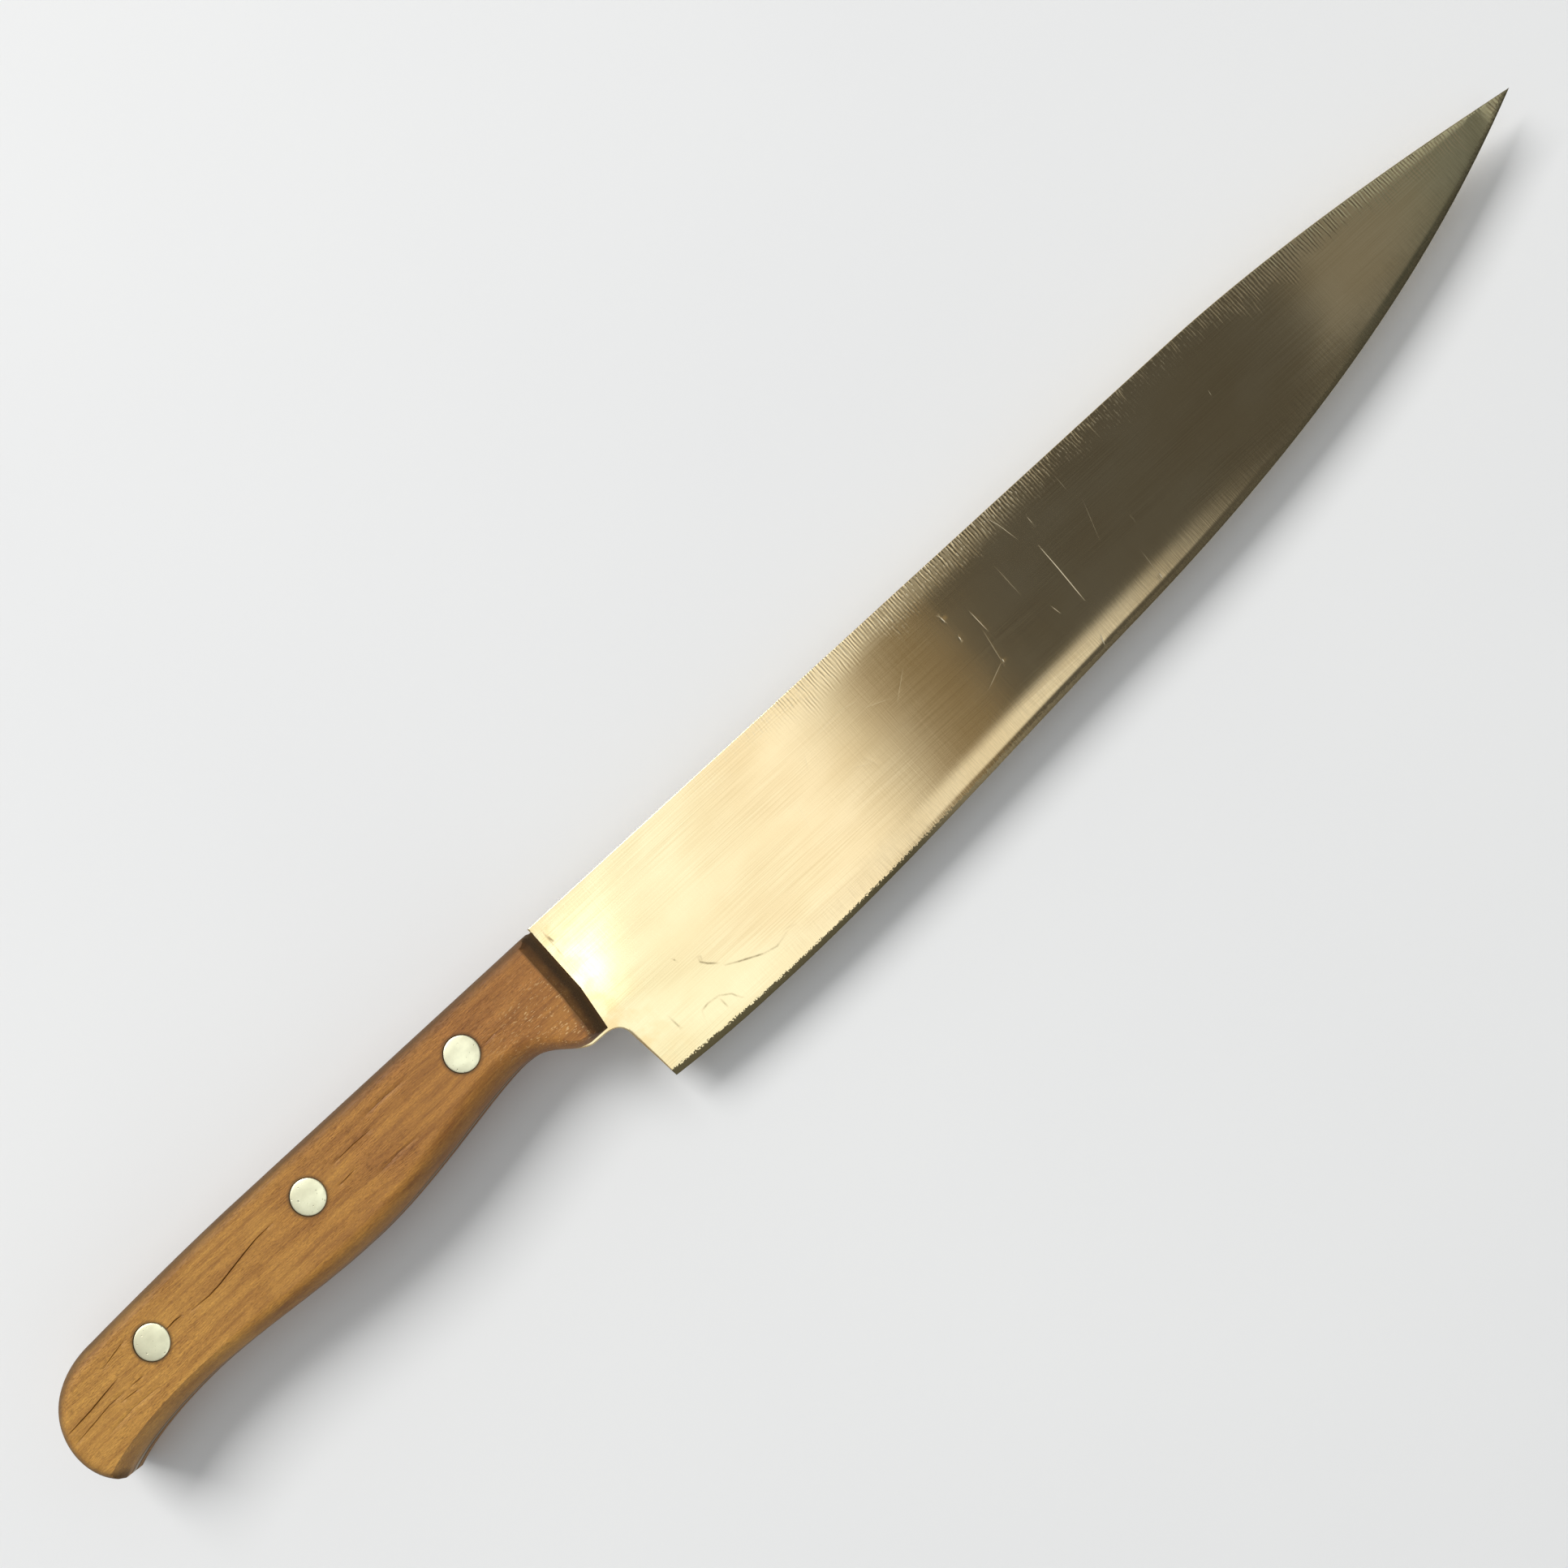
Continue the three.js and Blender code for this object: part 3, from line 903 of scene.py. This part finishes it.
def steel_look():
    """Straw-tinted stainless steel, brushed lengthwise, with a hatch by the spine and old scratches."""
    look = Look("blade_steel")
    from_spine = look.value("from_spine")
    from_edge = look.value("from_edge")
    x = look.axis(0)
    fog = look.noise((0.3, 0.3, 0.3), detail=4)

    # Lines across the blade: a regular hatch by the spine, and finer grinding by the edge.
    ground = look.noise((2.2, 0.06, 0), detail=4, roughness=0.65)
    fine = look.noise((5, 0.16, 0), detail=2)
    sway = look.between(look.noise((0.35, 0.14, 0), detail=2), 0, 1, 0, 9)
    wave = look.math("SINE", look.math("ADD", look.product(x, HATCH_TURN), sway), 0.0)
    uneven = look.between(look.noise((1.3, 0.3, 0), detail=1), 0.35, 0.65, 0.1, 1.0)
    hatch = look.product(wave, uneven)
    reach = look.between(look.noise((0.12, 0, 0), detail=2), 0.3, 0.7, 3.0, 8.5)
    by_spine = look.between(look.math("DIVIDE", from_spine, reach), 0.0, 1.1, 1.0, 0.0)
    by_edge = look.between(from_edge, 2, 9, 1.0, 0.0, smooth=True)
    # Both are polished away by the handle.
    by_spine = look.product(by_spine, look.between(x, 35, 120, 0.1, 1.0))
    by_edge = look.product(by_edge, look.between(x, 25, 75, 0.15, 1.0))

    height = look.product(ground, look.math("ADD", look.product(by_edge, 0.8), 0.2))
    height = look.math("ADD", height, look.product(fine, 0.08))
    height = look.math("ADD", height, look.product(look.product(hatch, by_spine), HATCH_HEIGHT))
    normal = look.bump(height, 0.006)

    # Tints of the metal, with painted shade in the troughs of the hatch.
    cloud = look.noise((0.045, 0.07, 0), detail=3)
    tint = look.mix(look.between(cloud, 0.35, 0.65), STRAW_SHADE, STRAW)
    along = look.between(look.noise((0.05, 3.6, 0), detail=3), 0.35, 0.62, 0.58, 0.0)
    patchy = look.between(look.noise((0.03, 0.09, 0)), 0.42, 0.58, 0.15, 1.0)
    tint = look.mix(look.product(along, patchy), tint, BRUSHED_LINE)
    across = look.between(look.noise((4.2, 0.25, 0), detail=2), 0.35, 0.6, 0.4, 0.0)
    across = look.product(across, look.math("ADD", by_edge, 0.12, clamp=True))
    # painted shade in the troughs of the hatch, in the grinding lines' colour
    painted_trough_shade = look.product(look.between(hatch, -0.8, 0.2, 0.26, 0.0), by_spine)
    tint = look.mix(look.math("ADD", across, painted_trough_shade), tint, GROUND_LINE_AND_TROUGH_SHADE)
    bloom = look.product(look.between(fog, 0.42, 0.62), look.between(x, 1, 11, 0.5, 0.0))
    tint = look.mix(bloom, tint, BLOOM)

    # Scratches, and painted glints on the crests of the hatch: painted highlight in the scratches' pale
    # colour.
    crests = look.between(look.noise((1.2, 0.9, 0)), 0.48, 0.62)
    painted_glints = look.product(look.product(look.between(wave, 0.2, 0.9), crests), by_spine)
    painted_glints = look.product(painted_glints, look.between(x, 110, 165, 0.7, 0.3))
    bright = look.math("MAXIMUM", look.value("scratch"), painted_glints)
    colour = look.mix(look.product(bright, 0.6), tint, FRESH_CUT_AND_GLINT)

    # Stains, and a painted dark line along the edge, which is wider and darker at the heel: painted shade
    # and dark reflection of the bevel.
    stain = look.product(look.value("stain"), look.between(fog, 0.38, 0.6, 0.25, 1.0))
    colour = look.mix(look.product(stain, 0.9), colour, STAIN)
    ragged = look.between(look.noise((2.6, 2.6, 0), detail=3), 0.3, 0.7, -0.4, 0.4)
    ragged = look.math("ADD", from_edge, ragged)
    ragged = look.math("SUBTRACT", ragged, look.between(x, 10, 80, 1.3, 0.85))
    heel_share = look.between(x, 62, 100, 1.0, 0.4, smooth=True)
    painted_edge_shade = look.product(look.between(ragged, 0.0, 0.2, 1.0, 0.0), heel_share)
    colour = look.mix(look.product(painted_edge_shade, 0.92), colour, EDGE_SHADE_PAINT)

    # The rim of the tang is dull, and dark: painted shade for its dark reflection, and tarnish.
    colour = look.mix(look.between(x, -12, -6, 0.75, 0.0), colour, TARNISH_AND_SHADE)
    patina = look.between(x, -9, -4, 1.0, 0.0)

    roughness = look.between(ground, 0.3, 0.7, 0.075, 0.09)
    marked = look.math("MAXIMUM", look.math("MAXIMUM", painted_edge_shade, stain), look.product(bright, 1.6))
    dull = look.product(look.math("MAXIMUM", marked, patina), 0.3)
    roughness = look.math("ADD", roughness, dull)
    return look.finish(Base_Color=colour, Metallic=1.0, Roughness=roughness, Normal=normal)


# The wood by its place along the handle: at the butt, in the middle and at the blade.
LIGHT_WOOD = [(0.66, 0.345, 0.064), (0.555, 0.26, 0.044), (0.50, 0.212, 0.044)]
DARK_WOOD = [(0.38, 0.17, 0.026), (0.30, 0.12, 0.018), (0.245, 0.086, 0.014)]
MOTTLE = (0.17, 0.066, 0.011)
PORE = (0.12, 0.042, 0.008)
FLECK = (0.68, 0.44, 0.19)
# dirt, and painted shade at the front and along the back of the handle
GRIME_AND_SHADE = (0.022, 0.014, 0.005)
# painted shade on the rounded sides of the handle, with wear from hands
HANDLED_AND_SHADE = (0.09, 0.045, 0.012)
CRACK = (0.05, 0.02, 0.005)


def wood_look(name, shift):
    """Worn brown hardwood, redder towards the blade, with short pores, dirt at its joints, and painted
    shade at its front, along its back and on its rounded sides.
    """
    look = Look(name)
    x = look.axis(0)
    y = look.axis(1)
    bend = look.noise((0.03, 0.12, 0.12), detail=1)
    waver = look.node("ShaderNodeCombineXYZ", {0: shift, 1: look.product(bend, 2.4)})[0]
    place = look.node("ShaderNodeVectorMath", {0: look.place, 1: waver}, operation="ADD")[0]

    band = look.noise((0.025, 0.5, 0.5), detail=3, place=place)
    streak = look.noise((0.2, 3.2, 3.2), detail=5, roughness=0.68, place=place)
    pore = look.noise((0.7, 8, 8), detail=3, roughness=0.6, place=place)
    mottle = look.noise((1.6, 5, 5), detail=3, roughness=0.6, place=place)
    fleck = look.noise((1.1, 3.2, 3.2), detail=1, place=place)
    patch = look.noise((0.09, 0.14, 0.14), detail=2, place=place)

    wander = look.between(patch, 0.3, 0.7, -0.18, 0.18)
    along = look.math("ADD", look.between(x, -128, -5), wander, clamp=True)
    grain = look.math("ADD", look.product(band, 0.5), look.product(streak, 0.5))
    colour = look.between(grain, 0.38, 0.62)
    colour = look.mix(colour, look.ramp(along, DARK_WOOD), look.ramp(along, LIGHT_WOOD))
    colour = look.mix(look.between(mottle, 0.35, 0.6, 0.36, 0.0), colour, MOTTLE)
    pores = look.product(look.between(pore, 0.54, 0.64), look.between(patch, 0.35, 0.6, 0.35, 0.9))
    colour = look.mix(look.product(pores, 0.6), colour, PORE)
    # Pale flecks lie low beside the blade.
    by_chin = look.product(look.between(x, -24, -8), look.between(y, -7, -13, 0.1, 0.8))
    colour = look.mix(look.product(look.between(fleck, 0.64, 0.70), by_chin), colour, FLECK)

    # Dirt round the rivets and at the joints, with painted shade at the front and along the back.
    grime = look.product(look.value("grime"), look.between(streak, 0.3, 0.7, 0.7, 1.0))
    colour = look.mix(look.product(grime, 0.9), colour, GRIME_AND_SHADE)
    # Painted shade on the rounded sides, strongest along the top rim, also standing for wear from hands.
    handled_and_shade = look.between(look.value("rounded"), 0.25, 0.9)
    handled_and_shade = look.product(handled_and_shade, look.between(y, -4, -1, 0.36, 0.62))
    colour = look.mix(handled_and_shade, colour, HANDLED_AND_SHADE)
    crack = look.product(look.value("crack"), look.between(streak, 0.3, 0.6, 0.45, 0.9))
    colour = look.mix(crack, colour, CRACK)

    height = look.math("SUBTRACT", look.product(streak, 0.6), look.product(pores, 0.5))
    normal = look.bump(height, 0.06)
    roughness = look.between(streak, 0.3, 0.7, 0.46, 0.62)
    roughness = look.math("ADD", roughness, look.product(grime, 0.2), clamp=True)
    return look.finish(Base_Color=colour, Roughness=roughness, Normal=normal, Specular_IOR_Level=0.4)


ALUMINIUM = (0.84, 0.80, 0.565)
ALUMINIUM_SHADE = (0.69, 0.66, 0.465)
PIT = (0.20, 0.19, 0.14)


def rivet_look():
    """Aged aluminium: satin, with a faint warm bloom, light scratches and a few small pits."""
    look = Look("rivet_aluminium")
    cloud = look.noise((0.32, 0.4, 0.4), detail=3)
    lines = look.noise((0.5, 7, 1), detail=3)
    cross = look.noise((6, 0.8, 1), detail=2)
    pits = look.between(look.noise((1.5, 1.5, 1.5), detail=2), 0.67, 0.73)
    tint = look.mix(look.between(cloud, 0.35, 0.65), ALUMINIUM_SHADE, ALUMINIUM)
    colour = look.mix(look.product(pits, 0.8), tint, PIT)
    height = look.math("ADD", look.product(lines, 0.5), look.product(cross, 0.3))
    height = look.math("SUBTRACT", height, look.product(pits, 4.0))
    normal = look.bump(height, 0.008)
    roughness = look.between(cloud, 0.3, 0.7, 0.42, 0.32)
    return look.finish(Base_Color=colour, Metallic=1.0, Roughness=roughness, Normal=normal)


FLOOR_PALE = (0.82, 0.82, 0.82)
FLOOR_SHADE = (0.79, 0.79, 0.795)


def floor_look():
    """A plain pale matt table top."""
    look = Look("pale_floor")
    cloud = look.noise((0.004, 0.004, 0), detail=3)
    fine = look.noise((0.35, 0.35, 0), detail=3)
    colour = look.mix(look.between(cloud, 0.3, 0.7), FLOOR_SHADE, FLOOR_PALE)
    normal = look.bump(fine, 0.02)
    return look.finish(Base_Color=colour, Roughness=0.75, Normal=normal, Specular_IOR_Level=0.2)


# ---- The knife -----------------------------------------------------------------------------------

def stand_in(piece, node, material):
    """piece shows in place of a CAD node, moves with the knife and wears a material."""
    piece.data.materials.append(material)
    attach(piece, "root")
    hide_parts(node)


steel_material = steel_look()
rivet_material = rivet_look()
stand_in(blade(), "blade_and_tang", steel_material)
for name, node, direction, marks, shift in (
    ("upper_handle_scale", "upper_scale", 1, cracks_above, 0.0),
    ("lower_handle_scale", "lower_scale", -1, cracks_below, 310.0),
):
    piece = scale(name, node, direction, marks)
    stand_in(piece, node, wood_look(name + "_wood", shift))
for name, place in RIVETS.items():
    for node, piece in rivet(name, place).items():
        stand_in(piece, node, rivet_material)

# ---- Floor, light and camera ---------------------------------------------------------------------
# Sizes here are in metres, apart from the sensor's width, which Blender takes in millimetres.

VIEW_TARGET = Vector((np.array([56.7, -12.97, MID_Z]) + ORIGIN) * MM)
CAMERA_DISTANCE = 0.420
CAMERA_TILT = math.radians(4)  # the camera stands over the side of the cutting edge
CAMERA_ROLL = math.radians(42.5)  # the knife climbs to the upper right
FRAME_WIDTH = 0.30912  # across the picture, at the height of the blade
SENSOR_WIDTH = 36
FLOOR_REACH = 6.0
KEY_FROM = Vector((-0.8, 2.44, 2.4))  # from the view target
KEY_SIZE = (1.9, 1.6)
KEY_POWER = 106
KEY_COLOUR = (1.0, 0.995, 0.98)


def look_down(tilt, roll):
    """A camera's rotation: straight down, tilted about the knife's length, then rolled."""
    return Matrix.Rotation(tilt, 3, "X") @ Matrix.Rotation(-roll, 3, "Z")


def make_camera():
    data = bpy.data.cameras.new("camera")
    data.sensor_width = SENSOR_WIDTH
    data.lens = SENSOR_WIDTH * CAMERA_DISTANCE / FRAME_WIDTH
    data.clip_start = 0.01
    camera = bpy.data.objects.new("camera", data)
    rotation = look_down(CAMERA_TILT, CAMERA_ROLL)
    place = VIEW_TARGET + rotation @ Vector((0, 0, CAMERA_DISTANCE))
    camera.matrix_world = Matrix.Translation(place) @ rotation.to_4x4()
    bpy.context.scene.collection.objects.link(camera)
    bpy.context.scene.camera = camera


def make_key():
    data = bpy.data.lights.new("key", "AREA")
    data.shape = "RECTANGLE"
    data.size, data.size_y = KEY_SIZE
    data.energy = KEY_POWER
    data.color = KEY_COLOUR
    light = bpy.data.objects.new("key", data)
    light.location = VIEW_TARGET + KEY_FROM
    light.rotation_euler = (-KEY_FROM).to_track_quat("-Z", "Y").to_euler()
    light.visible_camera = False
    bpy.context.scene.collection.objects.link(light)


def make_floor():
    mesh = bpy.data.meshes.new("floor")
    corners = [(x * FLOOR_REACH, y * FLOOR_REACH, 0) for x, y in ((-1, -1), (1, -1), (1, 1), (-1, 1))]
    mesh.from_pydata(corners, [], [(0, 1, 2, 3)])
    mesh.materials.append(floor_look())
    floor = bpy.data.objects.new("floor", mesh)
    bpy.context.scene.collection.objects.link(floor)


# The studio above the knife, as it is seen in the steel. Each panel replaces the light behind it between
# two leans towards the tip (+X) and two leans towards the spine (+Y). A lean of 0 is straight up, and 1 is
# 45 degrees. Its edges fade over the softness, and later panels are in front.
ROOM_LEVEL = 0.38
HORIZON_LEVEL = 0.78
HORIZON_TOP = 0.3  # the walls of the studio are paler from this height, as the sine of its angle, down
LEAST_RISE = 0.05  # keeps the leans finite near the horizon
WHITE = (1, 1, 1)
COOL = (0.95, 1.04, 1.08)
AMBER = (1, 0.8, 0.52)
GREENISH = (0.88, 1, 1)
PANELS = (
    # leans along X, leans along Y, softness along X and Y, level, tint
    ((0.104, 0.357), (-0.7, 0.4), (0.005, 0.02), 0.107, WHITE),  # dark hood
    ((0.357, 0.43), (-0.7, 0.4), (0.02, 0.02), 0.27, WHITE),  # hood by the tip
    ((0.43, 1.0), (-0.7, 0.4), (0.04, 0.04), 0.22, GREENISH),  # hood beyond
    ((0.45, 0.62), (0.06, 0.3), (0.03, 0.035), 0.55, GREENISH),  # above the tip
    ((0.37, 1.0), (-0.7, -0.045), (0.03, 0.02), 0.08, GREENISH),  # below the tip
    ((-0.1, 0.104), (-0.5, 0.45), (0.005, 0.02), 0.28, AMBER),  # amber card
    ((-0.1, 0.15), (0.07, 0.4), (0.04, 0.025), 0.45, WHITE),  # strip by the spine
    ((-0.1, 0.055), (0.065, 0.4), (0.045, 0.02), 1.2, WHITE),  # its bright end
    ((-0.9, 0.046), (-0.5, 0.45), (0.034, 0.02), 1.4, WHITE),  # card over the handle
    ((-0.9, -0.045), (-0.5, 0.45), (0.045, 0.02), 1.5, COOL),  # its cooler side
    ((-0.9, -0.345), (-0.5, 0.45), (0.04, 0.02), 0.36, WHITE),  # its far end
    ((0.0, 0.2), (-0.15, -0.082), (0.1, 0.03), 1.2, WHITE),  # strip by the edge
    ((-0.132, -0.114), (0.06, 0.078), (0.01, 0.01), 6.5, WHITE),  # lamp
)


def make_world():
    """Light that depends on direction only."""
    world = bpy.data.worlds.new("studio")
    bpy.context.scene.world = world
    world.use_nodes = True
    sky = Nodes(world.node_tree)
    direction = sky.node("ShaderNodeTexCoord", {})["Generated"]
    split = sky.node("ShaderNodeSeparateXYZ", {0: direction})
    up = sky.math("MAXIMUM", split[2], LEAST_RISE)
    leans = [sky.math("DIVIDE", split[axis], up) for axis in (0, 1)]

    light = [ROOM_LEVEL] * 3
    for x_range, y_range, softness, level, tint in PANELS:
        shares = []
        for lean, (low, high), soft in zip(leans, (x_range, y_range), softness):
            rise = sky.between(lean, low - soft, low + soft, smooth=True)
            fall = sky.between(lean, high + soft, high - soft, smooth=True)
            shares.append(sky.product(rise, fall))
        light = sky.mix(sky.product(*shares), light, [level * channel for channel in tint])
    low_down = sky.between(split[2], HORIZON_TOP, 0.0, smooth=True)
    light = sky.mix(low_down, light, [HORIZON_LEVEL] * 3)
    sky.feed(sky.tree.nodes["Background"].inputs["Color"], light)


make_camera()
make_floor()
make_world()
make_key()
bpy.context.scene.view_settings.view_transform = "Standard"
